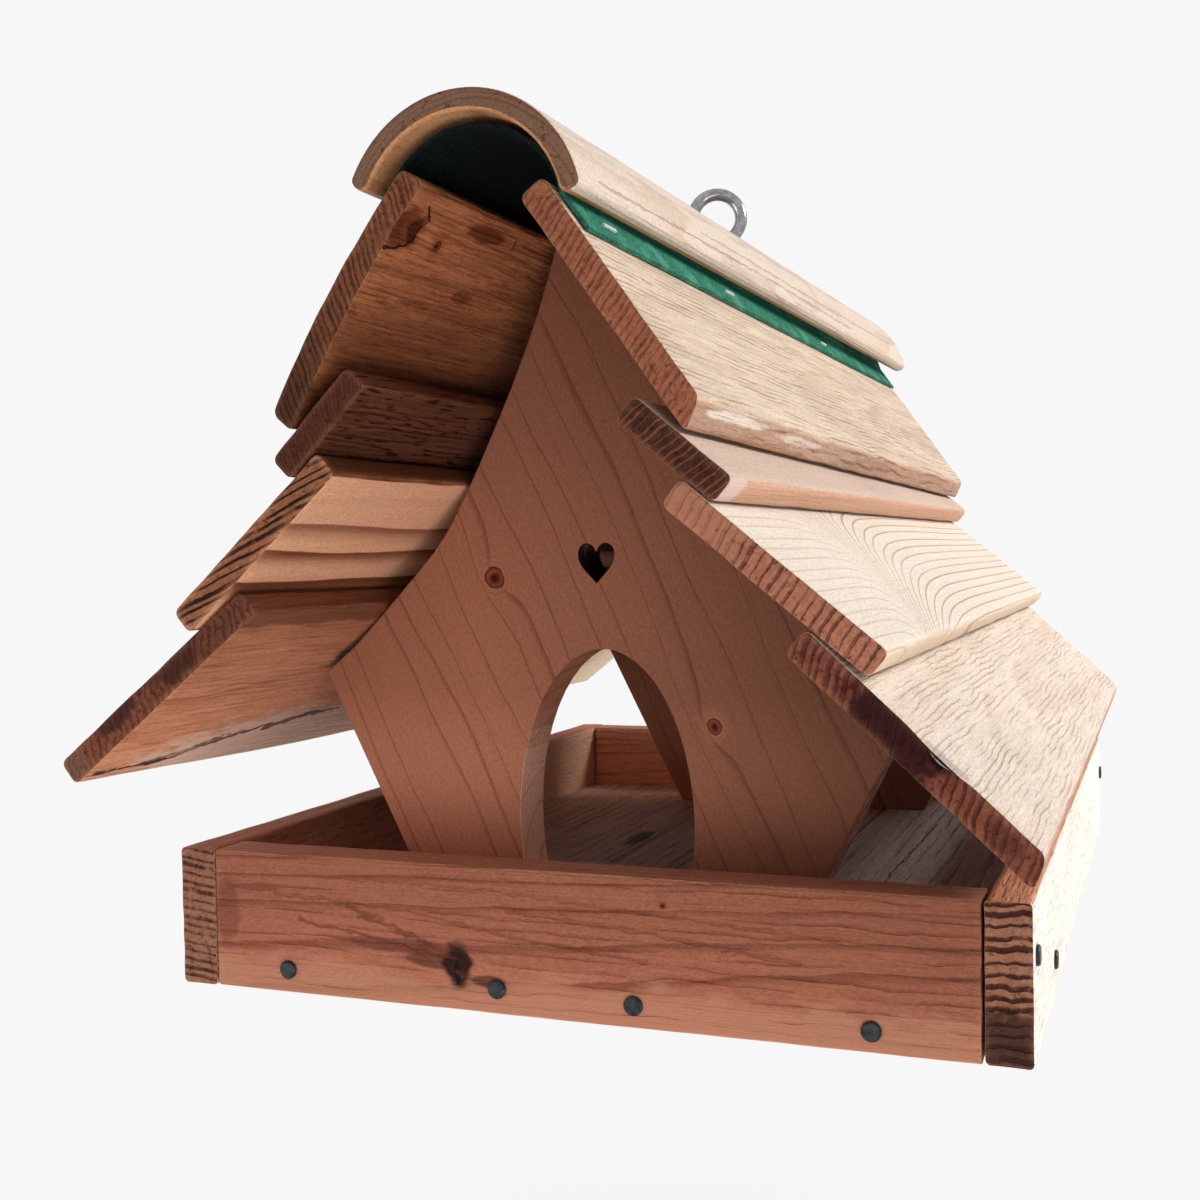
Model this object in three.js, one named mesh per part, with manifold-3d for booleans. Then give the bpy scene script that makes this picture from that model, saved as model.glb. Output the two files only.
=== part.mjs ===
import * as THREE from 'three';
import { mergeVertices } from 'three/addons/utils/BufferGeometryUtils.js';
import Module from 'manifold-3d';

const wasm = await Module();
wasm.setup();

// Sizes in millimetres. X right, Y to the back, Z up, origin under the middle of the tray.
const fit = 0.3;
const sanded = 0.9;

// Tray: side rails run the full depth, front and back rails sit between them.
const trayWidth = 300;
const trayDepth = 370;
const railHeight = 49.5;
const sideRail = 14.5;
const endRail = 17;
const railGap = 0.5;
const railChamfer = 4.5;
const floorThick = 17;
const floorNames = ['floor_left', 'floor_middle', 'floor_right'];

// Gables: concave upper sides, flared straight lower sides, oval doorway and a heart.
const gableThick = 20;
const gableInset = 40;
const gableFace = trayDepth / 2 - gableInset;
const gableFoot = 66;
const gableTop = 262;
const gableEave = { left: [112.4, 110], right: [110, 104] };
const gableHollow = {
  left: [[64, 156.5], [52, 175.5], [41.5, 195.5], [31.5, 216], [21.8, 239]],
  right: [[54, 164], [41, 188], [20, 239]],
};
const gableCrown = { left: 14, right: 11.5 };
const doorHalf = 33;
const doorRise = 61.4;
const doorMiddle = 58;
const heartMiddle = [-1.5, 149.5];
const heartWide = 13.8;
const heartTall = 14.4;

// Roof boards, lowest row first: slope in degrees, width, how much stays uncovered, how far
// the outer low corner is cut back, hollow across the board, gap to the row below, and the
// turn in degrees about the face of that row.
const boardThick = 9.6;
const boardLength = 460;
const boardRound = 3.2;
const flat = { plumb: 0, cup: 0, gap: 0, swing: 0 };
const roof = {
  left: {
    side: -1,
    eave: [110.4, 114.2],
    overhang: 62.5,
    rows: [
      { ...flat, slope: 38.5, width: 92, open: 74, swing: 1.25 },
      { ...flat, slope: 41.5, width: 77.5, open: 61 },
      { ...flat, slope: 44.5, width: 39.5, open: 14 },
      { ...flat, slope: 55.5, width: 87, open: 0, plumb: 1, cup: 2.4, swing: -0.8 },
    ],
  },
  right: {
    side: 1,
    eave: [110, 104],
    overhang: 59,
    rows: [
      { ...flat, slope: 43, width: 89, open: 67, plumb: 6 },
      { ...flat, slope: 39.5, width: 76, open: 63.5 },
      { ...flat, slope: 40, width: 38, open: 16.5 },
      { ...flat, slope: 54.5, width: 84.5, open: 0, plumb: 4.5, gap: 1.5, swing: -1.15 },
    ],
  },
};

// Ridge: beam between the gables, bent sheet, half-round cap and the screw eye.
const beamTall = 30;
const sheetThick = 1.3;
const sheetSpring = 0.4;
const sheetLength = 450;
const sheetReach = 14;
const sheetSwing = -0.35;
const sheetPlay = { left: 0.5, right: 0.15 };
const capInner = 34.6;
const capWall = 7;
const capTaper = 0.07;
const capHalfAngle = 70;
const capRoll = 6;
const capSwing = -0.8;
const capLift = 2.8;
const eyeWire = 2.75;
const eyeRing = 10.75;
const eyeShank = 50;
const eyeTurn = 18;
const eyeY = 12;

// Nails and staples.
const nailHead = 3.25;
const nailHeadThick = 1.1;
const nailShank = 1.4;
const nailLength = 42;
const endNails = [[-105, 8.5], [-23.5, 8.8], [25, 7.8], [102, 7.2]];
const cornerNailZ = 32;
const floorNailY = 113;
const floorNailZ = 13;
const stapleShares = [-0.443, -0.183, 0.139];
const stapleWide = 10;
const stapleWire = 0.8;
const stapleLeg = 5;

const looks = {
  wood: { color: 0xa9714f, roughness: 0.75, metalness: 0 },
  roof: { color: 0xc99a6c, roughness: 0.8, metalness: 0 },
  cap: { color: 0xd0a47c, roughness: 0.6, metalness: 0 },
  sheet: { color: 0x1f6b55, roughness: 0.85, metalness: 0 },
  nail: { color: 0x2b2d31, roughness: 0.5, metalness: 0.8 },
  steel: { color: 0xb9bcc0, roughness: 0.25, metalness: 1 },
};
const degrees = THREE.MathUtils.degToRad;
const point = (x, y) => new THREE.Vector2(x, y);
const group = new THREE.Group();
const tray = new THREE.Group();
const house = new THREE.Group();
const roofing = new THREE.Group();
group.add(tray, house, roofing);

function solid(geometry) {
  const plain = geometry.clone();
  plain.deleteAttribute('normal');
  plain.deleteAttribute('uv');
  const merged = mergeVertices(plain, 1e-4);
  return new wasm.Manifold(new wasm.Mesh({
    numProp: 3,
    vertProperties: new Float32Array(merged.attributes.position.array),
    triVerts: new Uint32Array(merged.index.array),
  }));
}

// A place is where a piece's own zero lies and its turns in degrees, about Z first, then Y and X.
const home = { at: [0, 0, 0], turn: [0, 0, 0] };
const opposite = (values) => values.map((value) => -value);
function put(shape, { at, turn }) {
  const [x, y, z] = turn;
  return shape.rotate([0, 0, z]).rotate([0, y, 0]).rotate([x, 0, 0]).translate(at);
}
const takeBack = (shape, { at, turn }) => shape.translate(opposite(at)).rotate(opposite(turn));

// Cuts holes that are set out in the whole object into a piece drawn about its own zero.
const cutThere = (shape, place, cut) => takeBack(cut(put(shape, place)), place);

// Adds a piece, drawn about its own zero, to a group at its place.
function add(parent, name, shape, look, place = home) {
  const mesh = shape.getMesh();
  const geometry = new THREE.BufferGeometry();
  geometry.setAttribute('position', new THREE.BufferAttribute(mesh.vertProperties, 3));
  geometry.setIndex(Array.from(mesh.triVerts));
  geometry.computeVertexNormals();
  const item = new THREE.Mesh(geometry, new THREE.MeshStandardMaterial(looks[look]));
  item.name = name;
  item.position.set(...place.at);
  item.rotation.set(...place.turn.map(degrees));
  parent.add(item);
}

// Closed outline through the corners, each one rounded by its own radius.
function outline(corners, radii) {
  const shape = new THREE.Shape();
  const count = corners.length;
  for (let i = 0; i < count; i += 1) {
    const at = corners[i];
    const before = corners[(i + count - 1) % count];
    const after = corners[(i + 1) % count];
    const r = Array.isArray(radii) ? radii[i] : radii;
    const start = at.clone().add(before.clone().sub(at).setLength(r));
    const end = at.clone().add(after.clone().sub(at).setLength(r));
    if (i === 0) {
      shape.moveTo(start.x, start.y);
    } else {
      shape.lineTo(start.x, start.y);
    }
    shape.quadraticCurveTo(at.x, at.y, end.x, end.y);
  }
  shape.closePath();
  return shape;
}

// Extrudes an outline drawn in X and Z along Y, centred, with sanded end edges; a taper is
// the share by which the back end is larger than the front end.
function alongY(shape, length, edge, smooth = 4, taper = 0) {
  const geometry = new THREE.ExtrudeGeometry(shape, {
    depth: length - 2 * edge,
    curveSegments: smooth,
    bevelEnabled: edge > 0,
    bevelThickness: edge,
    bevelSize: edge,
    bevelOffset: -edge,
    bevelSegments: 2,
  });
  geometry.translate(0, 0, edge - length / 2);
  geometry.rotateX(Math.PI / 2);
  const spots = geometry.attributes.position;
  for (let i = 0; i < spots.count; i += 1) {
    const scale = 1 + taper * spots.getY(i) / length;
    spots.setX(i, spots.getX(i) * scale);
    spots.setZ(i, spots.getZ(i) * scale);
  }
  return solid(geometry);
}

function rod(radius, length, sides = 14) {
  return solid(new THREE.CylinderGeometry(radius, radius, length, sides));
}

// Nails: a spot is where the head lies on the wood and how the shank is turned.
const nailSpots = [];
for (const [label, side, turn] of [['front', -1, 180], ['back', 1, 0]]) {
  endNails.forEach(([x, z], i) => {
    const at = [side < 0 ? x : -x, side * trayDepth / 2, z];
    nailSpots.push({ name: `nail_${label}_${i + 1}`, at, turn: [turn, 0, 0] });
  });
}
const cornerNailY = trayDepth / 2 - endRail / 2;
for (const [label, side] of [['left', -1], ['right', 1]]) {
  const spots = [
    [-cornerNailY, cornerNailZ],
    [-floorNailY, floorNailZ],
    [cornerNailY, cornerNailZ],
  ];
  spots.forEach(([y, z], i) => {
    const at = [side * trayWidth / 2, y, z];
    nailSpots.push({ name: `nail_${label}_${i + 1}`, at, turn: [0, 0, -90 * side] });
  });
}
const bores = nailSpots.map((spot) => put(rod(nailShank + fit, 2 * nailLength + 2), spot));
const drilled = (shape) => bores.reduce((rest, bore) => rest.subtract(bore), shape);

const nailProfile = [
  point(0, -nailLength),
  point(nailShank, 3 - nailLength),
  point(nailShank, 0),
  point(nailHead, 0),
  point(nailHead, nailHeadThick * 0.6),
  point(nailHead - 0.5, nailHeadThick),
  point(0, nailHeadThick + 0.1),
];
const nail = solid(new THREE.LatheGeometry(nailProfile, 14));
for (const spot of nailSpots) {
  add(tray, spot.name, nail, 'nail', spot);
}

// Tray rails, the lower outer edge of each side rail planed off.
const railInside = trayWidth / 2 - sideRail;
const floorEnd = trayDepth / 2 - endRail;
for (const [name, side] of [['left_rail', -1], ['right_rail', 1]]) {
  const place = { at: [side * railInside, 0, 0], turn: [0, 0, 0] };
  const corners = [
    point(0, 0),
    point(side * (sideRail - railChamfer), 0),
    point(side * sideRail, railChamfer),
    point(side * sideRail, railHeight),
    point(0, railHeight),
  ];
  const rail = alongY(outline(corners, [1.5, 2, 2, 2.4, 2]), trayDepth, 0.5);
  add(tray, name, cutThere(rail, place, drilled), 'wood', place);
}
for (const [name, side] of [['front_rail', -1], ['back_rail', 1]]) {
  const place = { at: [0, side * floorEnd, 0], turn: [0, 0, 90 * side] };
  const corners = [
    point(0, 0),
    point(endRail, 0),
    point(endRail, railHeight),
    point(0, railHeight),
  ];
  const rail = alongY(outline(corners, [1.5, 2, 2.4, 2]), 2 * (railInside - railGap), 0.5);
  add(tray, name, cutThere(rail, place, drilled), 'wood', place);
}

// Floor boards side by side, edges flush under the rails.
const floorWide = (2 * railInside) / floorNames.length;
floorNames.forEach((name, i) => {
  const half = (floorWide - fit) / 2;
  const place = { at: [(i - 1) * floorWide, 0, 0], turn: [0, 0, 0] };
  const corners = [point(-half, 0), point(half, 0), point(half, floorThick), point(-half, floorThick)];
  const board = alongY(outline(corners, 1.2), 2 * (floorEnd - fit), 0.4, 2);
  add(tray, name, cutThere(board, place, drilled), 'wood', place);
});

// Roof: each row rests on the row below, by its lower edge or by the edge under it.
function restingDrop(turn) {
  const s = Math.sin(turn);
  const c = Math.cos(turn);
  return boardRound * s * c / (s + c);
}

// A board lies at its slope and is swung about the face of the row under it.
function boardTurn(side, row, under) {
  const spin = (x, y, z, angle) => {
    return new THREE.Quaternion().setFromAxisAngle(new THREE.Vector3(x, y, z), degrees(angle));
  };
  const turn = spin(0, 1, 0, side * under);
  turn.multiply(spin(0, 0, 1, row.swing)).multiply(spin(0, 1, 0, side * (row.slope - under)));
  const angles = new THREE.Euler().setFromQuaternion(turn, 'XYZ');
  return [angles.x, angles.y, angles.z].map(THREE.MathUtils.radToDeg);
}

function layRows(plan) {
  const rows = [];
  plan.rows.forEach((row, i) => {
    const angle = degrees(row.slope);
    const down = point(Math.cos(angle), -Math.sin(angle));
    const out = point(Math.sin(angle), Math.cos(angle));
    let low = point(...plan.eave).addScaledVector(out, fit).addScaledVector(down, plan.overhang);
    if (i > 0) {
      const last = rows[i - 1];
      const steeper = angle - degrees(last.slope);
      const lap = last.width - last.open;
      const raised = steeper < 0 ? lap * Math.sin(-steeper) : 0;
      const rest = fit + row.gap + raised - restingDrop(Math.abs(steeper));
      low = last.low.clone().addScaledVector(last.out, boardThick + rest);
      low.addScaledVector(last.down, -last.open);
    }
    const under = i > 0 ? plan.rows[i - 1].slope : row.slope;
    const place = { at: [plan.side * low.x, 0, low.y], turn: boardTurn(plan.side, row, under) };
    rows.push({ ...row, side: plan.side, low, down, out, place });
  });
  return rows;
}

// How far a cupped board stands out, at a share of its width.
const bulge = (cup, share) => 4 * cup * share * (1 - share);

// One board about its lower inner edge, grown all round by a margin where it cuts a seat.
function boardSolid({ side, width, plumb, cup }, margin, edge) {
  const shares = cup > 0 ? [0.17, 0.33, 0.5, 0.67, 0.83] : [];
  const along = (base) => shares.map((share) => point(-side * width * share, base + bulge(cup, share)));
  const far = -width - margin;
  const corners = [
    point(side * margin, -margin),
    point(side * (margin - plumb), boardThick + margin),
    ...along(boardThick + margin),
    point(side * far, boardThick + margin),
    point(side * far, -margin),
    ...along(-margin).reverse(),
  ];
  return alongY(outline(corners, boardRound), boardLength, edge);
}

const sides = ['left', 'right'].map((label) => {
  return { label, side: roof[label].side, eave: gableEave[label], rows: layRows(roof[label]) };
});
const allRows = sides.flatMap(({ rows }) => rows);
const seats = allRows.map((row) => put(boardSolid(row, fit, 0), row.place));
const seated = (shape) => seats.reduce((rest, seat) => rest.subtract(seat), shape);

// Where the underside of the top board crosses a height.
function undersideX(row, z) {
  return row.low.x + (row.low.y - z) * row.down.x / -row.down.y;
}

// Gable outline: foot, flared side, eave, hollow curve up to the crown, and the doorway.
function gableHalf({ label, side, eave, rows }) {
  const [lowest] = rows;
  const path = [
    point(...eave).addScaledVector(lowest.down, -16),
    lowest.low.clone().addScaledVector(lowest.down, -lowest.width).addScaledVector(lowest.out, -0.5),
    ...gableHollow[label].map(([x, z]) => point(x, z)),
    point(gableCrown[label], gableTop),
  ];
  const curve = new THREE.SplineCurve(path).getPoints(26);
  return [point(gableFoot, floorThick), point(...eave), ...curve].map((p) => point(side * p.x, p.y));
}

function gableShape() {
  const [left, right] = sides.map(gableHalf);
  const outer = [...left, ...right.reverse()];
  const door = [];
  const sill = Math.asin((floorThick - doorMiddle) / doorRise);
  for (let i = 0; i <= 36; i += 1) {
    const angle = sill + (Math.PI - 2 * sill) * i / 36;
    const z = i % 36 === 0 ? floorThick : doorMiddle + doorRise * Math.sin(angle);
    door.push(point(doorHalf * Math.cos(angle), z));
  }
  return new THREE.Shape([...outer, ...door]);
}

function heartShape() {
  const [x, z] = heartMiddle;
  const w = heartWide / 2;
  const t = heartTall / 2;
  const heart = new THREE.Shape();
  heart.moveTo(x, z + t * 0.55);
  heart.bezierCurveTo(x + w * 0.25, z + t * 1.25, x + w * 1.1, z + t * 1.05, x + w, z + t * 0.3);
  heart.bezierCurveTo(x + w * 0.95, z - t * 0.2, x + w * 0.3, z - t * 0.65, x, z - t);
  heart.bezierCurveTo(x - w * 0.3, z - t * 0.65, x - w * 0.95, z - t * 0.2, x - w, z + t * 0.3);
  heart.bezierCurveTo(x - w * 1.1, z + t * 1.05, x - w * 0.25, z + t * 1.25, x, z + t * 0.55);
  return heart;
}
const gableMiddle = gableFace - gableThick / 2;
const heart = alongY(heartShape(), gableThick + 4, 0, 7);
const gable = alongY(gableShape(), gableThick, 0.6).subtract(heart);
for (const [name, side] of [['gable_front', -1], ['gable_back', 1]]) {
  const place = { at: [0, side * gableMiddle, 0], turn: [0, 0, 0] };
  add(house, name, cutThere(gable, place, seated), 'wood', place);
}

// Ridge beam between the gables, its top corners under the two top boards.
const [leftTop, rightTop] = sides.map(({ rows }) => rows[3]);
const beamLength = 2 * (gableFace - gableThick) - 2 * fit;
const beamPlay = Math.abs(Math.sin(degrees(rightTop.swing))) * beamLength / 2 + 2 * fit;
const beamLeft = -undersideX(leftTop, gableTop) + 3 * fit;
const beamRight = rightTop.low.x - rightTop.width * rightTop.down.x - beamPlay;
const beamHalf = (beamRight - beamLeft) / 2;
const beamPlace = {
  at: [beamLeft + beamHalf, 0, gableTop - beamTall / 2],
  turn: [0, 0, 0],
};
const beamCorners = [[-1, 1], [-1, -1], [1, -1], [1, 1]].map(([x, z]) => {
  return point(x * beamHalf, z * beamTall / 2);
});

// The face of a top board where the sheet lies on it, at a share of its width.
function slopeOf(row, side, play) {
  const share = 0.76;
  const angle = degrees(row.slope) + Math.atan(4 * row.cup * (1 - 2 * share) / row.width);
  const face = row.low.clone().addScaledVector(row.out, boardThick + bulge(row.cup, share));
  face.addScaledVector(row.down, -row.width * share);
  const out = point(side * Math.sin(angle), Math.cos(angle));
  const down = point(side * Math.cos(angle), -Math.sin(angle));
  return { out, down, level: out.dot(point(side * face.x, face.y)) + play };
}
const leftSlope = slopeOf(leftTop, -1, sheetPlay.left);
const rightSlope = slopeOf(rightTop, 1, sheetPlay.right);

// Cap middle: its right edge rests on the sheet, its left edge stands clear of it.
const capEdge = (side, radius) => {
  const angle = degrees(side * capHalfAngle + capRoll);
  return point(radius * Math.sin(angle), radius * Math.cos(angle));
};
const capShift = Math.sin(degrees(sheetSwing - capSwing)) * boardLength / 2;
const capPlay = rightSlope.out.x * capShift + capInner * capTaper / 2;
const reach = [[leftSlope, -1, capLift], [rightSlope, 1, capPlay]].map(([slope, side, lift]) => {
  return slope.level + sheetThick + 2 * fit + lift - slope.out.dot(capEdge(side, capInner));
});
const det = leftSlope.out.cross(rightSlope.out);
const capMiddle = point(
  (reach[0] * rightSlope.out.y - reach[1] * leftSlope.out.y) / det,
  (leftSlope.out.x * reach[1] - rightSlope.out.x * reach[0]) / det,
);

// Bent sheet about the middle of the cap: flat on both top boards, arched between them.
const raisedBy = (slope) => slope.level + fit - slope.out.dot(capMiddle);
const sheetArch = Math.max(raisedBy(leftSlope), raisedBy(rightSlope)) + sheetSpring;

function sheetInner(slope) {
  const raised = raisedBy(slope);
  const turn = slope.out.clone().multiplyScalar(raised);
  turn.addScaledVector(slope.down, Math.sqrt(sheetArch ** 2 - raised ** 2));
  const end = turn.clone().addScaledVector(slope.down, sheetReach);
  return { turn, end, angle: Math.atan2(turn.x, turn.y) };
}

function sheetShape() {
  const left = sheetInner(leftSlope);
  const right = sheetInner(rightSlope);
  const arc = (radius, from, to) => {
    const points = [];
    for (let i = 0; i <= 18; i += 1) {
      const angle = from + (to - from) * i / 18;
      points.push(point(radius * Math.sin(angle), radius * Math.cos(angle)));
    }
    return points;
  };
  const ends = [[left, leftSlope], [right, rightSlope]].map(([edge, slope]) => {
    return edge.end.clone().addScaledVector(slope.out, sheetThick);
  });
  return new THREE.Shape([
    left.end,
    ...arc(sheetArch, left.angle, right.angle),
    right.end,
    ends[1],
    ...arc(sheetArch + sheetThick, right.angle, left.angle),
    ends[0],
  ]);
}

// Half-round cap with rounded lower edges, drawn about the middle of its curve.
function capShape() {
  const half = degrees(capHalfAngle);
  const steps = 30;
  const points = [];
  const mark = (radius, angle, along) => {
    points.push(point(
      radius * Math.sin(angle) + along * Math.cos(angle),
      radius * Math.cos(angle) - along * Math.sin(angle),
    ));
  };
  for (const [radius, side] of [[capInner + capWall, 1], [capInner, -1]]) {
    for (let i = 0; i <= steps; i += 1) {
      mark(radius, side * half * (2 * i / steps - 1), 0);
    }
    for (let i = 1; i < 6; i += 1) {
      const about = Math.PI * i / 6;
      const across = side * capWall / 2 * Math.cos(about);
      mark(capInner + capWall / 2 + across, side * half, side * 0.35 * capWall * Math.sin(about));
    }
  }
  return new THREE.Shape(points);
}
const capPlace = { at: [capMiddle.x, 0, capMiddle.y], turn: [0, capRoll, capSwing] };
const sheetPlace = { at: [capMiddle.x, 0, capMiddle.y], turn: [0, 0, sheetSwing] };

// Screw eye: closed ring on a collar and a pointed shank, through cap and sheet into the beam.
const capTop = capMiddle.y + capInner + capWall;
const eyePlace = { at: [capMiddle.x, eyeY, capTop], turn: [0, 0, eyeTurn] };
const shankWidth = eyeWire * 0.88;
const eyeHole = put(rod(shankWidth + fit, 2 * eyeShank + 2).rotate([90, 0, 0]), eyePlace);

function eyeSolid() {
  const profile = [
    point(0, -eyeShank),
    point(shankWidth, 7 - eyeShank),
    point(shankWidth, fit),
    point(eyeWire * 1.25, fit + 0.6),
    point(eyeWire * 1.25, fit + 1.6),
    point(eyeWire * 0.9, fit + 4.2),
    point(0, fit + 4.2),
  ];
  const shank = solid(new THREE.LatheGeometry(profile, 20));
  const ring = solid(new THREE.TorusGeometry(eyeRing, eyeWire, 14, 36));
  return ring.translate([0, fit + eyeWire + eyeRing, 0]).add(shank).rotate([90, 0, 0]);
}

// Staples through the sheet into the top boards, their crowns along the ridge.
function stapleSolid(margin) {
  const wide = stapleWide / 2 + margin;
  const inner = stapleWide / 2 - stapleWire - margin;
  const top = stapleWire + margin;
  const leg = -stapleLeg - sheetThick - fit - margin;
  const shape = new THREE.Shape([
    point(-wide, leg),
    point(-inner, leg),
    point(-inner, -margin),
    point(inner, -margin),
    point(inner, leg),
    point(wide, leg),
    point(wide, top),
    point(-wide, top),
  ]);
  return alongY(shape, stapleWire + 2 * margin, 0).rotate([0, 0, 90]);
}

const staples = [['left', leftSlope], ['right', rightSlope]].flatMap(([label, slope]) => {
  const spot = sheetInner(slope).turn.addScaledVector(slope.down, sheetReach * 0.62);
  spot.addScaledVector(slope.out, sheetThick).add(capMiddle);
  const tilt = THREE.MathUtils.radToDeg(Math.atan2(slope.out.x, slope.out.y));
  return stapleShares.map((share, i) => {
    const y = share * boardLength;
    const x = spot.x - y * Math.tan(degrees(sheetSwing));
    return { name: `staple_${label}_${i + 1}`, at: [x, y, spot.y], turn: [0, tilt, 0] };
  });
});
const pricks = staples.map((place) => put(stapleSolid(fit), place));
const pricked = (shape) => pricks.reduce((rest, prick) => rest.subtract(prick), shape);

const bored = (shape) => shape.subtract(eyeHole);

for (const { label, rows } of sides) {
  rows.forEach((row, i) => {
    const board = boardSolid(row, 0, sanded);
    const done = i === 3 ? cutThere(board, row.place, pricked) : board;
    add(roofing, `roof_${label}_${rows.length - i}`, done, 'roof', row.place);
  });
}
const beam = alongY(outline(beamCorners, 2), beamLength, 0.6);
const sheet = alongY(sheetShape(), sheetLength, 0);
const cap = alongY(capShape(), boardLength, 1, 4, capTaper);
add(house, 'ridge_beam', cutThere(beam, beamPlace, bored), 'wood', beamPlace);
add(roofing, 'ridge_sheet', cutThere(sheet, sheetPlace, (s) => bored(pricked(s))), 'sheet', sheetPlace);
add(roofing, 'ridge_cap', cutThere(cap, capPlace, bored), 'cap', capPlace);
add(roofing, 'screw_eye', eyeSolid(), 'steel', eyePlace);
for (const staple of staples) {
  add(roofing, staple.name, stapleSolid(0), 'nail', staple);
}

export default group;
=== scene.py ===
import math

import bpy
import numpy as np
from mathutils import Matrix, Vector, noise


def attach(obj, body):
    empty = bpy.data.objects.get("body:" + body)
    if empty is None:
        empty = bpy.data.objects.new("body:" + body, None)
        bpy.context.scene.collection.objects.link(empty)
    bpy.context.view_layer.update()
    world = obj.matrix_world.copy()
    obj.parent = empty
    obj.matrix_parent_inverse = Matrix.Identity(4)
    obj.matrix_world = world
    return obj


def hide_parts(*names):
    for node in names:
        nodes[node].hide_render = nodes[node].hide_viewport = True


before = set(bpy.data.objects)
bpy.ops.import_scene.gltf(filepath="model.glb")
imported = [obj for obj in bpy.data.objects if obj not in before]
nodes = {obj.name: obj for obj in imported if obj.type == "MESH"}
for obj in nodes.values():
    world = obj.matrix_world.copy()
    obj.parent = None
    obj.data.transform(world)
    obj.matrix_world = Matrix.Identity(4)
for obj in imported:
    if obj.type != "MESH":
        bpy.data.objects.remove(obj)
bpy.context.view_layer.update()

X, Y, Z = (np.array(v, float) for v in ((1, 0, 0), (0, 1, 0), (0, 0, 1)))


def rgb(red, green, blue):
    """A colour written as 0 to 255 screen values, turned into linear values."""
    shares = [value / 255 for value in (red, green, blue)]
    linear = [share / 12.92 if share < 0.04045 else ((share + 0.055) / 1.055) ** 2.4 for share in shares]
    return (*linear, 1.0)


# Camera, fitted to corners of the photograph: metres, degrees and photograph pixels.
CAMERA_AT = (0.18955, -0.60364, 0.15337)
YAW, PITCH, ROLL = (math.radians(v) for v in (20.07, -1.99, -1.05))
FOCAL_PIXELS = 1417.87
PHOTO_PIXELS = 1200
SENSOR = 36
SIDE_SHIFT = -0.05
NEAREST = 0.01


def add_camera():
    forward = Vector((-math.sin(YAW) * math.cos(PITCH), math.cos(YAW) * math.cos(PITCH), math.sin(PITCH)))
    level = Vector((math.cos(YAW), math.sin(YAW), 0))
    upward = level.cross(forward)
    right = level * math.cos(ROLL) + upward * math.sin(ROLL)
    up = upward * math.cos(ROLL) - level * math.sin(ROLL)
    data = bpy.data.cameras.new("camera")
    camera = bpy.data.objects.new("camera", data)
    bpy.context.scene.collection.objects.link(camera)
    turn = Matrix((right, up, -forward)).transposed().to_4x4()
    camera.matrix_world = Matrix.Translation(CAMERA_AT) @ turn
    data.sensor_width = SENSOR
    data.lens = SENSOR * FOCAL_PIXELS / PHOTO_PIXELS
    data.shift_x = SIDE_SHIFT
    data.clip_start = NEAREST
    bpy.context.scene.camera = camera


add_camera()


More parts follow.
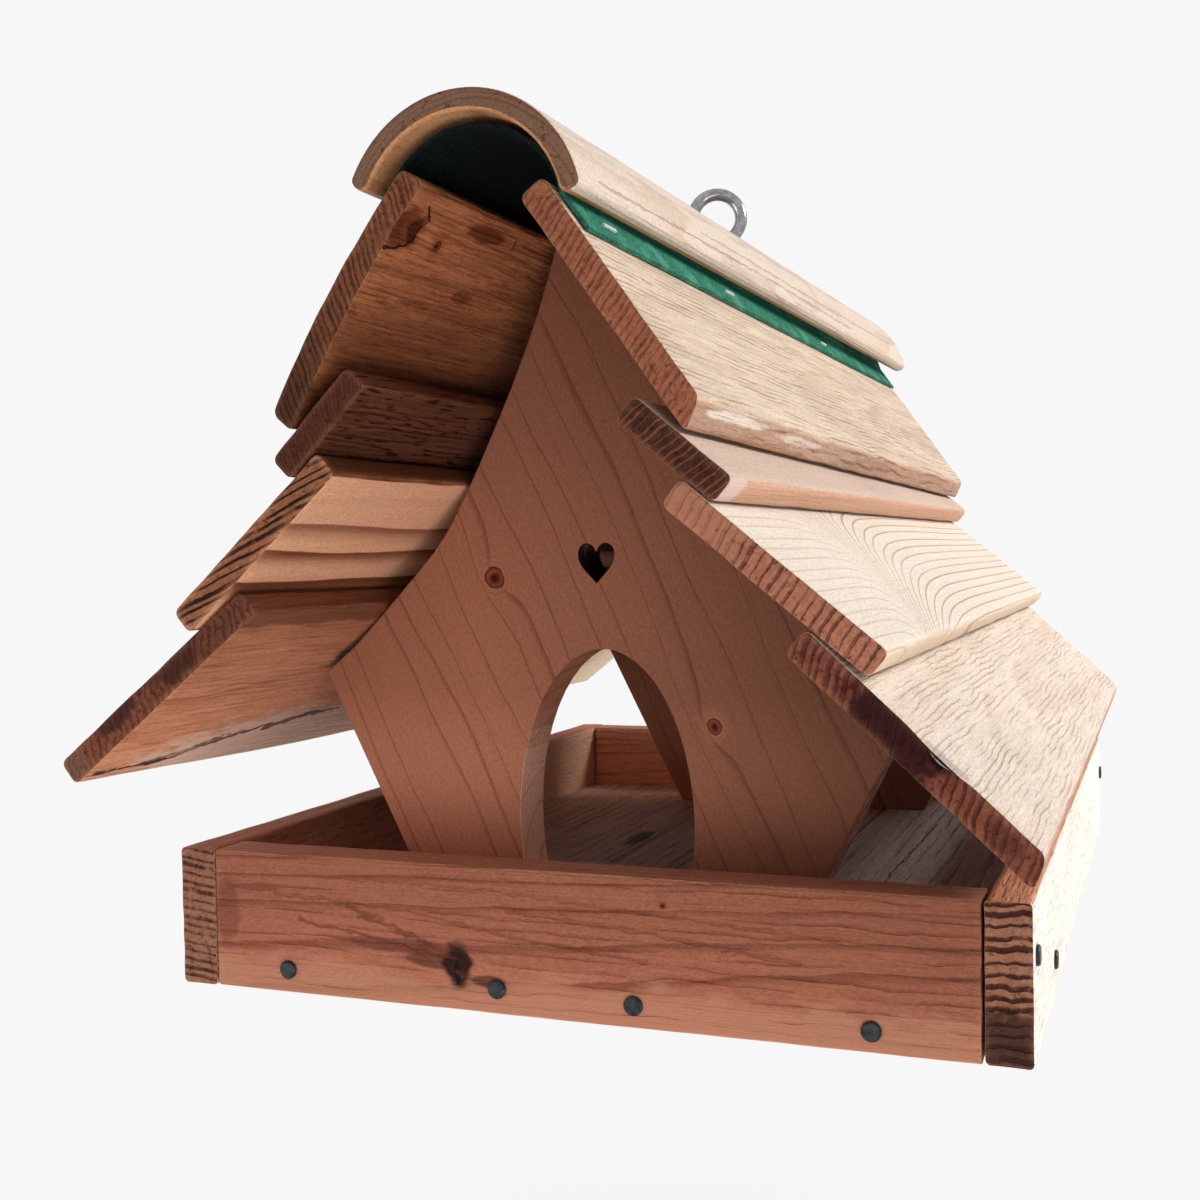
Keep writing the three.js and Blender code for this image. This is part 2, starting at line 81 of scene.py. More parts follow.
class Net:
    """Short names for the shader nodes of one material."""

    def __init__(self, name, roughness):
        self.material = bpy.data.materials.new(name)
        self.material.use_nodes = True
        self.nodes = self.material.node_tree.nodes
        self.links = self.material.node_tree.links
        self.shader = self.nodes["Principled BSDF"]
        self.shader.inputs["Roughness"].default_value = roughness

    def put(self, socket, value):
        if isinstance(value, bpy.types.NodeSocket):
            self.links.new(value, socket)
        else:
            socket.default_value = value

    def make(self, kind, values=(), **settings):
        node = self.nodes.new(kind)
        for key, value in settings.items():
            setattr(node, key, value)
        for socket, value in zip(node.inputs, values):
            self.put(socket, value)
        return node

    def math(self, operation, *values):
        return self.make("ShaderNodeMath", values, operation=operation).outputs[0]

    def add(self, *values):
        total = values[0]
        for value in values[1:]:
            total = self.math("ADD", total, value)
        return total

    def times(self, *values):
        total = values[0]
        for value in values[1:]:
            total = self.math("MULTIPLY", total, value)
        return total

    def less(self, a, b):
        return self.math("SUBTRACT", a, b)

    def rest(self, share):
        """What a share leaves of one."""
        return self.less(1.0, share)

    def larger(self, a, b):
        return self.math("MAXIMUM", a, b)

    def smaller(self, a, b):
        return self.math("MINIMUM", a, b)

    def length(self, a, b):
        return self.math("SQRT", self.add(self.times(a, a), self.times(b, b)))

    def vector(self, *values):
        return self.make("ShaderNodeCombineXYZ", values).outputs[0]

    def split(self, vector):
        return self.make("ShaderNodeSeparateXYZ", [vector]).outputs

    def scaled(self, vector, size):
        return self.make("ShaderNodeVectorMath", [vector, size], operation="MULTIPLY").outputs[0]

    def dot(self, a, b):
        return self.make("ShaderNodeVectorMath", [a, b], operation="DOT_PRODUCT").outputs["Value"]

    def noise(self, vector, waves, detail, rough=0.5):
        """Noise from 0 to 1, with its waves per metre along each axis of the vector."""
        node = self.make("ShaderNodeTexNoise")
        self.put(node.inputs["Vector"], self.scaled(vector, waves))
        node.inputs["Scale"].default_value = 1.0
        node.inputs["Detail"].default_value = detail
        node.inputs["Roughness"].default_value = rough
        return node.outputs[0]

    def wobble(self, vector, waves, detail, rough=0.5):
        """Noise about zero."""
        return self.less(self.noise(vector, waves, detail, rough), 0.5)

    def step(self, value, low, high):
        node = self.make("ShaderNodeMapRange", [value, low, high], interpolation_type="SMOOTHSTEP")
        return node.outputs[0]

    def ramp(self, value, stops):
        node = self.make("ShaderNodeValToRGB", [value])
        elements = node.color_ramp.elements
        while len(elements) < len(stops):
            elements.new(0.5)
        for element, (position, level) in zip(elements, stops):
            element.position = position
            element.color = (level, level, level, 1)
        return node.outputs[0]

    def mix(self, factor, a, b, blend="MIX"):
        node = self.make("ShaderNodeMix", data_type="RGBA", blend_type=blend)
        for index, value in ((0, factor), (6, a), (7, b)):
            self.put(node.inputs[index], value)
        return node.outputs[2]

    def bump(self, height, distance, strength):
        node = self.make("ShaderNodeBump")
        self.put(node.inputs["Height"], height)
        node.inputs["Distance"].default_value = distance
        node.inputs["Strength"].default_value = strength
        return node.outputs[0]

    def place(self):
        return self.make("ShaderNodeTexCoord").outputs["Object"]

    def normal(self):
        return self.make("ShaderNodeNewGeometry").outputs["Normal"]


def near(net, u, v, spot, reach):
    """One at a spot of a face and falling to nothing around it."""
    p = net.times(net.less(u, spot[0]), 1 / reach[0])
    q = net.times(net.less(v, spot[1]), 1 / reach[1])
    return net.math("EXPONENT", net.times(net.add(net.times(p, p), net.times(q, q)), -1.0))


def trail(net, u, v, path, jag):
    """Distance to a path drawn on a face, with a ragged course."""
    spot = net.vector(u, v, 0.0)
    u = net.add(u, net.times(net.wobble(spot, (230, 230, 1), 2), jag * 2))
    v = net.add(v, net.times(net.wobble(spot, (170, 400, 1), 3), jag * 3))
    nearest = 1.0
    for (u0, v0), (u1, v1) in zip(path, path[1:]):
        length = math.hypot(u1 - u0, v1 - v0)
        along, across = (u1 - u0) / length, (v1 - v0) / length
        du, dv = net.add(u, -u0), net.add(v, -v0)
        run = net.add(net.times(du, along), net.times(dv, across))
        held = net.larger(net.smaller(run, length), 0.0)
        off_u = net.less(du, net.times(held, along))
        off_v = net.less(dv, net.times(held, across))
        nearest = net.smaller(nearest, net.length(off_u, off_v))
    return nearest


def facing(net, axes):
    """How far the surface looks along each way of the piece's axes."""
    normal = net.normal()
    found = {}
    for (plus, minus), axis in zip((("back", "front"), ("low", "high"), ("top", "under")), axes):
        amount = net.dot(normal, tuple(axis))
        found[plus] = net.step(amount, 0.5, 0.8)
        found[minus] = net.step(net.times(amount, -1.0), 0.5, 0.8)
    return found


def hollow(net, across, height, axis):
    """One on the inner side of a shell that bends around an axis along Y."""
    normal = net.split(net.normal())
    outward = net.add(net.times(normal[0], net.less(across, axis[0])),
                      net.times(normal[2], net.less(height, axis[1])))
    return net.step(net.times(outward, -1.0), 0.002, 0.005)


# What a piece of wood can set: lengths in metres, strengths as shares, colours as screen values.
# top, under, side, ends: light and dark colour of the faces that look that way.
# ring, pith, tilt, warp, late, uneven: growth rings' spacing, the place of their middle across and
#   through, its slope along the piece, and the rings' waviness, dark part and unevenness.
# contrast, fibre, relief, tone: strength of rings, fibres, ring relief and patches.
# rough, shift: roughness, and the piece's own place in the noise.
# ticks, worms, torn: strength of short pores, curled scratches and torn fibres.
# scored: gap, wobble and depth of rough-sawn lines.
# flame: start, slant and bend of its middle, then push and reach behind it and before it.
# ladder: saw marks on the ends, by across and through, then gap, wave, depth and thickness.
# bands: place, width, depth and softness. fade: painted light and shade, by direction, start, end and
# brightness at each.
# knots: along, across, size and push of the rings. spots: face, place, reach, colour, strength.
# cracks: face, width, depth, colour and path. hollow: axis of a bent shell. rim: worn edges.
WOOD = {
    "under": None, "side": None, "ends": None,
    "ring": 0.006, "pith": (0.012, -0.05), "tilt": 0.03, "warp": 0.006, "late": 0.5,
    "uneven": 1.1, "contrast": 0.8, "fibre": 0.35, "relief": 0.25, "tone": 0.2, "rough": 0.62, "shift": 0.0,
    "ticks": 0.0, "worms": 0.0, "torn": 0.0, "scored": None, "flame": None, "ladder": None, "bands": [],
    "fade": [], "knots": [], "spots": [], "cracks": [], "hollow": None, "rim": 0.12,
    "rim_colour": (206, 150, 112), "halo_colour": (140, 72, 48),
}
WOOD_GLOSS = 0.08
WORN_WIDTH = 0.0009
SURFACE_DEPTH = 0.0007


class Timber:
    """The shader of one piece of wood, built up mark by mark in coordinates that grain gives."""

    def __init__(self, name, grain, axes, changes):
        self.spec = {**WOOD, **changes}
        net = self.net = Net(name, self.spec["rough"])
        net.shader.inputs["Specular IOR Level"].default_value = WOOD_GLOSS
        self.along, self.across, self.through, self.edge = grain(net)
        self.here = net.vector(net.add(self.along, self.spec["shift"]), self.across, self.through)
        self.sway = net.wobble(self.here, (4, 16, 16), 2)
        self.ripple = net.wobble(self.here, (22, 90, 90), 3)
        self.fine = net.wobble(self.here, (25, 1500, 1500), 2)
        self.thread = net.wobble(self.here, (9, 420, 420), 3, 0.6)
        self.grit = net.wobble(self.here, (600, 1000, 1000), 3, 0.7)
        self.looks = facing(net, axes)
        if self.spec["hollow"]:
            inside = hollow(net, self.across, self.through, self.spec["hollow"])
            self.looks = {way: net.times(amount, net.rest(inside)) for way, amount in self.looks.items()}
            self.looks["under"] = inside
        self.end_face = net.add(self.looks["front"], self.looks["back"])
        self.long_face = net.rest(self.end_face)

    def on(self, share, colour):
        self.colour = self.net.mix(share, self.colour, colour)

    def darken(self, share, shade):
        self.on(share, self.net.mix(1.0, self.colour, shade, "MULTIPLY"))

    def dim(self, level):
        self.colour = self.net.mix(1.0, self.colour, self.net.vector(level, level, level), "MULTIPLY")

    def sink(self, depth):
        self.height = self.net.less(self.height, depth)

    def noise(self, waves, detail, rough=0.5):
        return self.net.noise(self.here, waves, detail, rough)

    def flame(self):
        """Ring radius bent into a flame, and one behind the flame's middle."""
        net = self.net
        start, slant, bend, (push_back, reach_back), (push_front, reach_front) = self.spec["flame"]
        line = net.add(net.times(self.across, slant), net.times(self.across, self.across, bend), start)
        off = net.add(net.less(self.along, line), net.times(self.ripple, 0.003))
        behind = net.step(off, -0.0012, 0.0012)
        back = net.math("EXPONENT", net.times(net.larger(off, 0.0), -1 / reach_back))
        front = net.math("EXPONENT", net.times(net.smaller(off, 0.0), 1 / reach_front))
        push = net.add(net.times(back, behind, push_back),
                       net.times(front, net.rest(behind), push_front))
        return net.less(self.across, push), behind

    def rings(self):
        """Dark late wood of the growth rings, from 0 to 1, bent around knots or into a flame."""
        net, spec = self.net, self.spec
        strength = net.step(self.noise((3, 40, 40), 2), 0.05, 0.5)
        if spec["flame"]:
            radius, behind = self.flame()
            strength = net.times(strength, net.add(0.5, net.times(behind, 0.5)))
        else:
            a = net.add(net.less(self.across, spec["pith"][0]), net.times(self.sway, spec["warp"]))
            t = net.less(net.less(self.through, spec["pith"][1]), net.times(self.along, spec["tilt"]))
            radius = net.length(a, t)
        radius = net.add(radius, net.times(self.sway, spec["warp"]),
                         net.times(self.ripple, spec["warp"] * 0.22))
        for g0, a0, size, push in spec["knots"]:
            bulge = near(net, self.along, self.across, (g0, a0), (size * 3.6, size * 2.0))
            radius = net.add(radius, net.times(bulge, push))
        count = net.times(radius, 1 / spec["ring"])
        uneven = net.noise(net.vector(net.times(count, 0.7), 0.0, 0.0), (1, 1, 1), 1)
        part = net.math("FRACT", net.add(count, net.times(uneven, spec["uneven"] * 2)))
        late = spec["late"]
        begin = 1 - late
        dark = net.ramp(part, [(0.0, 0.0), (begin, 0.06), (begin + late * 0.6, 0.8),
                               (begin + late * 0.88, 1.0), (1.0, 0.0)])
        return net.times(dark, strength)

    def ladder(self):
        """Saw marks across the growth rings of the ends."""
        net = self.net
        by_across, by_through, gap, wave, depth, thick = self.spec["ladder"]
        bent = net.wobble(net.vector(self.across, self.through, 0.0), (70, 160, 1), 2)
        cut = net.add(net.times(self.across, by_across), net.times(self.through, by_through),
                      net.times(bent, wave * 2))
        cut = net.times(cut, 1 / gap)
        cut = net.add(cut, net.times(net.noise(net.vector(cut, 0.0, 0.0), (0.8, 1, 1), 1), 1.2))
        rung = net.ramp(net.math("FRACT", cut), [(0.0, 0.1), (1 - thick, 0.0), (1 - thick * 0.6, 0.85),
                                                 (1 - thick * 0.15, 1.0), (1.0, 0.1)])
        rung = net.times(rung, net.step(self.noise((90, 120, 120), 2), 0.2, 0.5))
        fuzz = net.wobble(self.here, (600, 430, 430), 3, 0.7)
        sawn = net.add(net.times(rung, depth), net.times(fuzz, 1.5), 0.1)
        self.amount = net.add(net.times(self.amount, self.long_face), net.times(sawn, self.end_face))
        self.height = net.add(net.times(self.height, self.long_face),
                              net.times(net.add(rung, fuzz), self.end_face, -1.0))

    def bands(self):
        """Wide dark rings that run along the long faces, sharp on one side and soft on the other."""
        net = self.net
        for a0, wide, depth, soft in self.spec["bands"]:
            off = net.add(self.across, net.times(self.sway, 0.012), net.times(self.ripple, 0.0026), -a0)
            front = net.step(off, -0.0004, 0.0004)
            back = net.math("POWER", net.rest(net.step(off, wide * (1 - soft), wide)), 2.2)
            self.amount = net.add(self.amount, net.times(front, back, self.long_face, depth))

    def base(self):
        """Colour and relief of the rings, fibres, saw marks and bands."""
        net, spec = self.net, self.spec
        late = self.rings()
        fibre = spec["fibre"]
        self.amount = net.add(net.times(late, spec["contrast"]), net.times(self.thread, fibre * 2.2),
                              net.times(self.fine, fibre * 0.9))
        self.height = net.add(net.times(late, 0.7 * spec["relief"]), net.times(self.thread, 0.5),
                              net.times(self.fine, 0.5), net.times(self.grit, 0.5))
        if spec["ladder"]:
            self.ladder()
        self.bands()
        side = spec["side"] or spec["top"]
        side_face = net.add(self.looks["low"], self.looks["high"])
        light, dark = (rgb(*shade) for shade in spec["top"])
        for share, pair in ((self.looks["under"], spec["under"] or spec["top"]), (side_face, side),
                            (self.end_face, spec["ends"] or side)):
            light = net.mix(share, light, rgb(*pair[0]))
            dark = net.mix(share, dark, rgb(*pair[1]))
        self.colour = net.mix(net.larger(net.smaller(self.amount, 1.15), 0.0), light, dark)

    def tone(self):
        """Lighter and darker patches, grit, and slow fades of painted light and shade."""
        net, spec = self.net, self.spec
        patch = net.wobble(self.here, (9, 26, 26), 3)
        tone = net.add(1.0, net.times(patch, spec["tone"] * 2), net.times(self.grit, 0.85))
        for way, start, end, first, last in spec["fade"]:
            place = net.dot(net.vector(self.along, self.across, self.through), way)
            share = net.make("ShaderNodeMapRange", [place, start, end, first, last]).outputs[0]
            tone = net.times(tone, share)
        self.dim(tone)

    def ticks(self, strength):
        """Short open pores."""
        net = self.net
        dash = net.times(net.step(self.noise((90, 820, 820), 1), 0.58, 0.7), self.long_face)
        self.darken(net.times(dash, strength), rgb(150, 118, 100))
        self.sink(net.times(dash, 1.3 * strength))

    def scored(self, gap, wobble, depth):
        """Lines of a rough saw along the piece."""
        net = self.net
        wave = net.times(net.wobble(self.here, (26, 70, 70), 2), wobble * 2)
        jitter = net.times(net.wobble(self.here, (160, 220, 220), 2), wobble * 0.3)
        row = net.math("FRACT", net.times(net.add(self.across, wave, jitter), 1 / gap))
        line = net.ramp(row, [(0.0, 0.0), (0.6, 0.0), (0.84, 1.0), (0.94, 1.0), (1.0, 0.0)])
        line = net.times(line, net.step(self.noise((24, 300, 300), 3), 0.4, 0.62), self.long_face)
        self.darken(net.times(line, depth), rgb(190, 160, 140))
        self.sink(net.times(line, 0.9 * depth))

    def worms(self, strength):
        """Fine curled scratches."""
        net = self.net
        curl = net.wobble(self.here, (430, 560, 560), 1)
        line = net.rest(net.step(net.math("ABSOLUTE", curl), 0.0, 0.12))
        line = net.times(line, self.long_face, net.step(self.noise((16, 60, 60), 2), 0.35, 0.6))
        self.darken(net.times(line, 0.5 * strength), rgb(216, 196, 182))
        self.sink(net.times(line, 0.8 * strength))

    def torn(self, strength):
        """Fibres torn up by the saw."""
        net = self.net
        rag = net.step(self.noise((40, 330, 330), 4, 0.62), 0.36, 0.62)
        self.height = net.add(self.height, net.times(rag, self.long_face, 2.0 * strength))
        self.dim(net.add(1.0, net.times(net.less(rag, 0.6), 0.42 * strength)))

    def pits(self):
        """Open pores of the ends."""
        net = self.net
        pits = net.times(net.step(self.noise((500, 420, 420), 2), 0.6, 0.74), self.end_face)
        self.on(net.times(pits, 0.5), rgb(46, 24, 17))
        self.sink(net.times(pits, 0.8))

    def knot(self, g0, a0, size):
        net = self.net
        p = net.times(net.less(self.along, g0), 1 / (1.15 * size))
        q = net.times(net.less(self.across, a0), 1 / size)
        away = net.add(net.length(p, q), net.times(net.wobble(self.here, (300, 300, 300), 2), 0.5))
        halo = net.times(net.rest(net.step(away, 1.0, 2.6)), 0.4)
        self.on(halo, rgb(*self.spec["halo_colour"]))
        turn = net.math("FRACT", net.times(away, 2.0))
        circles = net.ramp(turn, [(0.0, 0.0), (0.6, 0.2), (0.85, 1.0), (1.0, 0.0)])
        self.darken(net.times(circles, halo, 1.2), rgb(190, 150, 130))
        heart = net.mix(net.step(away, 0.15, 0.6), rgb(46, 18, 12), rgb(126, 62, 40))
        heart = net.mix(net.step(away, 0.72, 0.92), heart, rgb(78, 34, 24))
        self.on(net.rest(net.step(away, 0.9, 1.1)), heart)
        self.sink(net.times(net.rest(net.step(away, 0.2, 0.7)), 1.5))

    def spot(self, u, v, look, centre, reach, stain_or_painted_light, strength):
        """A patch with a ragged outline: a real stain on some pieces, painted light or shade on others."""
        net = self.net
        spot = near(net, u, v, centre, reach)
        spot = net.add(spot, net.times(net.wobble(self.here, (70, 200, 200), 3), 0.9))
        self.on(net.times(net.step(spot, 0.32, 0.66), look, strength), rgb(*stain_or_painted_light))

    def crack(self, u, v, look, width, depth, shade, path):
        net = self.net
        far = trail(net, u, v, path, max(width, 0.0009))
        wide = net.times(net.add(net.times(self.noise((70, 70, 70), 2), 1.6), -0.1), width)
        line = net.rest(net.step(far, net.times(wide, 0.4), wide))
        line = net.times(line, look, depth)
        self.on(line, rgb(*shade))
        self.sink(net.times(line, min(2.4, 0.0014 / width)))

    def placed_marks(self):
        """Knots, spots and cracks. The face called cut is the sides and the ends."""
        net, spec = self.net, self.spec
        flat, end = (self.along, self.across), (self.across, self.through)
        planes = {"top": flat, "under": flat, "cut": flat, "low": (self.along, self.through), "front": end}
        looks = {**self.looks, "cut": net.rest(net.larger(self.looks["top"], self.looks["under"]))}
        for g0, a0, size, _ in spec["knots"]:
            self.knot(g0, a0, size)
        for face, u0, v0, reach, stain_or_painted_light, strength in spec["spots"]:
            self.spot(*planes[face], looks[face], (u0, v0), reach, stain_or_painted_light, strength)
        for face, width, depth, shade, path in spec["cracks"]:
            self.crack(*planes[face], looks[face], width, depth, shade, path)

    def worn_rim(self):
        """Paler wood along the worn edges."""
        net = self.net
        worn = net.math("EXPONENT", net.times(self.edge, -1 / WORN_WIDTH))
        worn = net.times(worn, net.step(self.noise((60, 60, 60), 2), 0.3, 0.65))
        self.on(net.times(worn, self.spec["rim"]), rgb(*self.spec["rim_colour"]))

    def finish(self):
        net, inputs = self.net, self.net.shader.inputs
        net.put(inputs["Base Color"], self.colour)
        net.put(inputs["Roughness"], net.add(self.spec["rough"], net.times(self.thread, 0.25)))
        net.put(inputs["Normal"], net.bump(self.height, SURFACE_DEPTH, 0.9))
        return net.material


def wood(name, grain, axes, **changes):
    """Wood for one piece, with its axes along the grain, across and through."""
    timber = Timber(name, grain, axes, changes)
    spec = timber.spec
    timber.base()
    timber.tone()
    if spec["ticks"]:
        timber.ticks(spec["ticks"])
    if spec["scored"]:
        timber.scored(*spec["scored"])
    if spec["worms"]:
        timber.worms(spec["worms"])
    if spec["torn"]:
        timber.torn(spec["torn"])
    timber.pits()
    timber.placed_marks()
    if timber.edge is not None:
        timber.worn_rim()
    return timber.finish()


def stored(net):
    """Grain coordinates that a rebuilt block carries on its points."""
    place = net.make("ShaderNodeAttribute", attribute_name="grain").outputs["Vector"]
    edge = net.make("ShaderNodeAttribute", attribute_name="edge").outputs["Fac"]
    return (*net.split(place), edge)


def lines(half, inner, cell):
    """Grid lines from edge to edge, closer in the rounded part."""
    bend = half - inner
    middle = np.linspace(-bend, bend, max(2, int(round(2 * bend / cell)) + 1))
    curve = bend + inner * np.array([0.35, 0.65, 0.87, 1.0])
    return np.concatenate([-curve[::-1], middle, curve])


def shell(grid):
    """Closed surface of a grid box: the points' grid places and the faces."""
    places, faces, start = [], [], 0
    for axis in range(3):
        u, v = [i for i in range(3) if i != axis]
        nu, nv = len(grid[u]), len(grid[v])
        index = np.arange(nu * nv).reshape(nu, nv)
        corners = [index[:-1, :-1], index[1:, :-1], index[1:, 1:], index[:-1, 1:]]
        quads = np.stack(corners, -1).reshape(-1, 4)
        for side in (0, len(grid[axis]) - 1):
            spot = np.zeros((nu, nv, 3), int)
            spot[..., u] = np.arange(nu)[:, None]
            spot[..., v] = np.arange(nv)[None, :]
            spot[..., axis] = side
            places.append(spot.reshape(-1, 3))
            turned = (side == 0) != (axis == 1)
            faces.append((quads[:, ::-1] if turned else quads) + start)
            start += nu * nv
    unique, inverse = np.unique(np.concatenate(places), axis=0, return_inverse=True)
    return unique, inverse.reshape(-1)[np.concatenate(faces)]


def lumps(points, size, seed):
    """Smooth noise from -1 to 1 at each point."""
    moved = points * np.array(size) + seed * 7.31
    return np.array([noise.noise(p) for p in moved.tolist()])


def directions(points, faces):
    """Outward direction at each point, from the faces around it."""
    a, b, c, d = (points[faces[:, i]] for i in range(4))
    face = np.cross(c - a, d - b)
    total = np.zeros_like(points)
    for i in range(4):
        np.add.at(total, faces[:, i], face)
    return total / np.linalg.norm(total, axis=1, keepdims=True)


def mesh_piece(name, points, faces, material, slot, **values):
    mesh = bpy.data.meshes.new(name)
    mesh.from_pydata(points.tolist(), [], faces.tolist())
    mesh.polygons.foreach_set("use_smooth", [True] * len(mesh.polygons))
    for key, data in values.items():
        kind, field = ("FLOAT_VECTOR", "vector") if data.ndim == 2 else ("FLOAT", "value")
        layer = mesh.attributes.new(key, kind, "POINT")
        layer.data.foreach_set(field, data.astype(np.float32).ravel())
    mesh.materials.append(material)
    piece = bpy.data.objects.new(name, mesh)
    bpy.context.scene.collection.objects.link(piece)
    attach(piece, "root")
    return piece


def reach_of(node, axes):
    """Lowest and highest place of a node along each axis."""
    mesh = nodes[node].data
    points = np.empty(len(mesh.vertices) * 3, np.float32)
    mesh.vertices.foreach_get("co", points)
    along = points.reshape(-1, 3) @ np.array([list(a) for a in axes]).T
    return along.min(0), along.max(0)


LEAN_WIDTH = 0.018
WANE_RUN = 0.12
SAWN_DEPTH = 0.00012
WORN_EDGE = 0.0022


def rounded(p, half, section, end):
    """Rounds the long edges of box points and draws their ends in."""
    inner = half[1:] - section
    core = np.clip(p[:, 1:], -inner, inner)
    away = p[:, 1:] - core
    size = np.linalg.norm(away, axis=1)
    square = np.abs(away).max(1)
    factor = np.where(size > 1e-9, square / np.maximum(size, 1e-9), 1)
    p[:, 1:] = core + away * factor[:, None]
    into = np.clip((np.abs(p[:, 0]) - (half[0] - end)) / end, 0, 1)
    shrink = end * (1 - np.sqrt(1 - into ** 2))
    p[:, 1] *= 1 - shrink / half[1]
    p[:, 2] *= 1 - shrink / half[2]


def wear_depth(p, edge, seed, wear, dents):
    """How deep saw marks, worn edges and dents lie at each point."""
    depth = SAWN_DEPTH * (1 + lumps(p, (14, 40, 40), seed))
    worn = np.exp(-edge / WORN_EDGE) * np.clip(lumps(p, (55, 120, 120), seed + 3) + 0.25, 0, 1)
    depth += wear * worn
    for g0, a0, t_side, reach, deep in dents:
        spot = ((p[:, 0] - g0) / reach[0]) ** 2 + ((p[:, 1] - a0) / reach[1]) ** 2
        depth += deep * np.exp(-spot) * (p[:, 2] * t_side > 0)
    return depth


def block(node, axes, slot, seed, section=0.0026, end=0.0009, cell=(0.003, 0.0025, 0.0024),
          lean=0.0, longer=0.0, trim=0.0, wane=0.0, wear=0.0004, cup=0.0, dents=(), **look):
    """Rebuilds a board as a dense sawn block.

    The lean cuts back the outer low corner, longer and trim move the low and high edges,
    wane lets the low edge wander and cup bends the board across its width.
    """
    low, high = reach_of(node, axes)
    high[1] += longer
    low[1] += trim
    high[2] -= cup
    middle, half = (low + high) / 2, (high - low) / 2
    grid = [lines(half[i], (end, section, section)[i], cell[i]) for i in range(3)]
    place, faces = shell(grid)
    p = np.stack([grid[i][place[:, i]] for i in range(3)], 1)
    edge = np.sort(half - np.abs(p), axis=1)[:, 1]
    rounded(p, half, section, end)
    if lean:
        tail = np.clip((p[:, 1] - (half[1] - LEAN_WIDTH)) / LEAN_WIDTH, 0, 1)
        p[:, 1] -= lean * tail * (p[:, 2] + half[2]) / (2 * half[2])
    if wane:
        tail = np.clip((p[:, 1] + half[1]) / (2 * half[1]), 0, 1) ** 2
        p[:, 1] += wane * tail * np.clip((p[:, 0] + half[0]) / WANE_RUN, 0, 1)
    if np.dot(np.cross(axes[0], axes[1]), axes[2]) < 0:
        faces = faces[:, ::-1]
    share = (p[:, 1] + half[1]) / (2 * half[1])
    bowed = p + np.outer(4 * cup * share * (1 - share), (0, 0, 1))
    world = (bowed + middle) @ np.array([list(a) for a in axes])
    out = directions(world, faces)
    world -= out * wear_depth(p, edge, seed, wear, dents)[:, None]
    material = wood(node + "_wood", stored, axes, **look)
    piece = mesh_piece(node + "_sawn", world, faces, material, slot, grain=p, edge=edge)
    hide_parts(node)


def slope_axes(side, slope, under, swing):
    """Grain along the ridge, across down the roof, through outwards, as the board lies."""
    turn = Matrix.Rotation(math.radians(side * under), 3, "Y")
    turn = turn @ Matrix.Rotation(math.radians(swing), 3, "Z")
    turn = turn @ Matrix.Rotation(math.radians(side * (slope - under)), 3, "Y")
    return [np.array(turn @ Vector(v)) for v in ((0, 1, 0), (side, 0, 0), (0, 0, 1))]


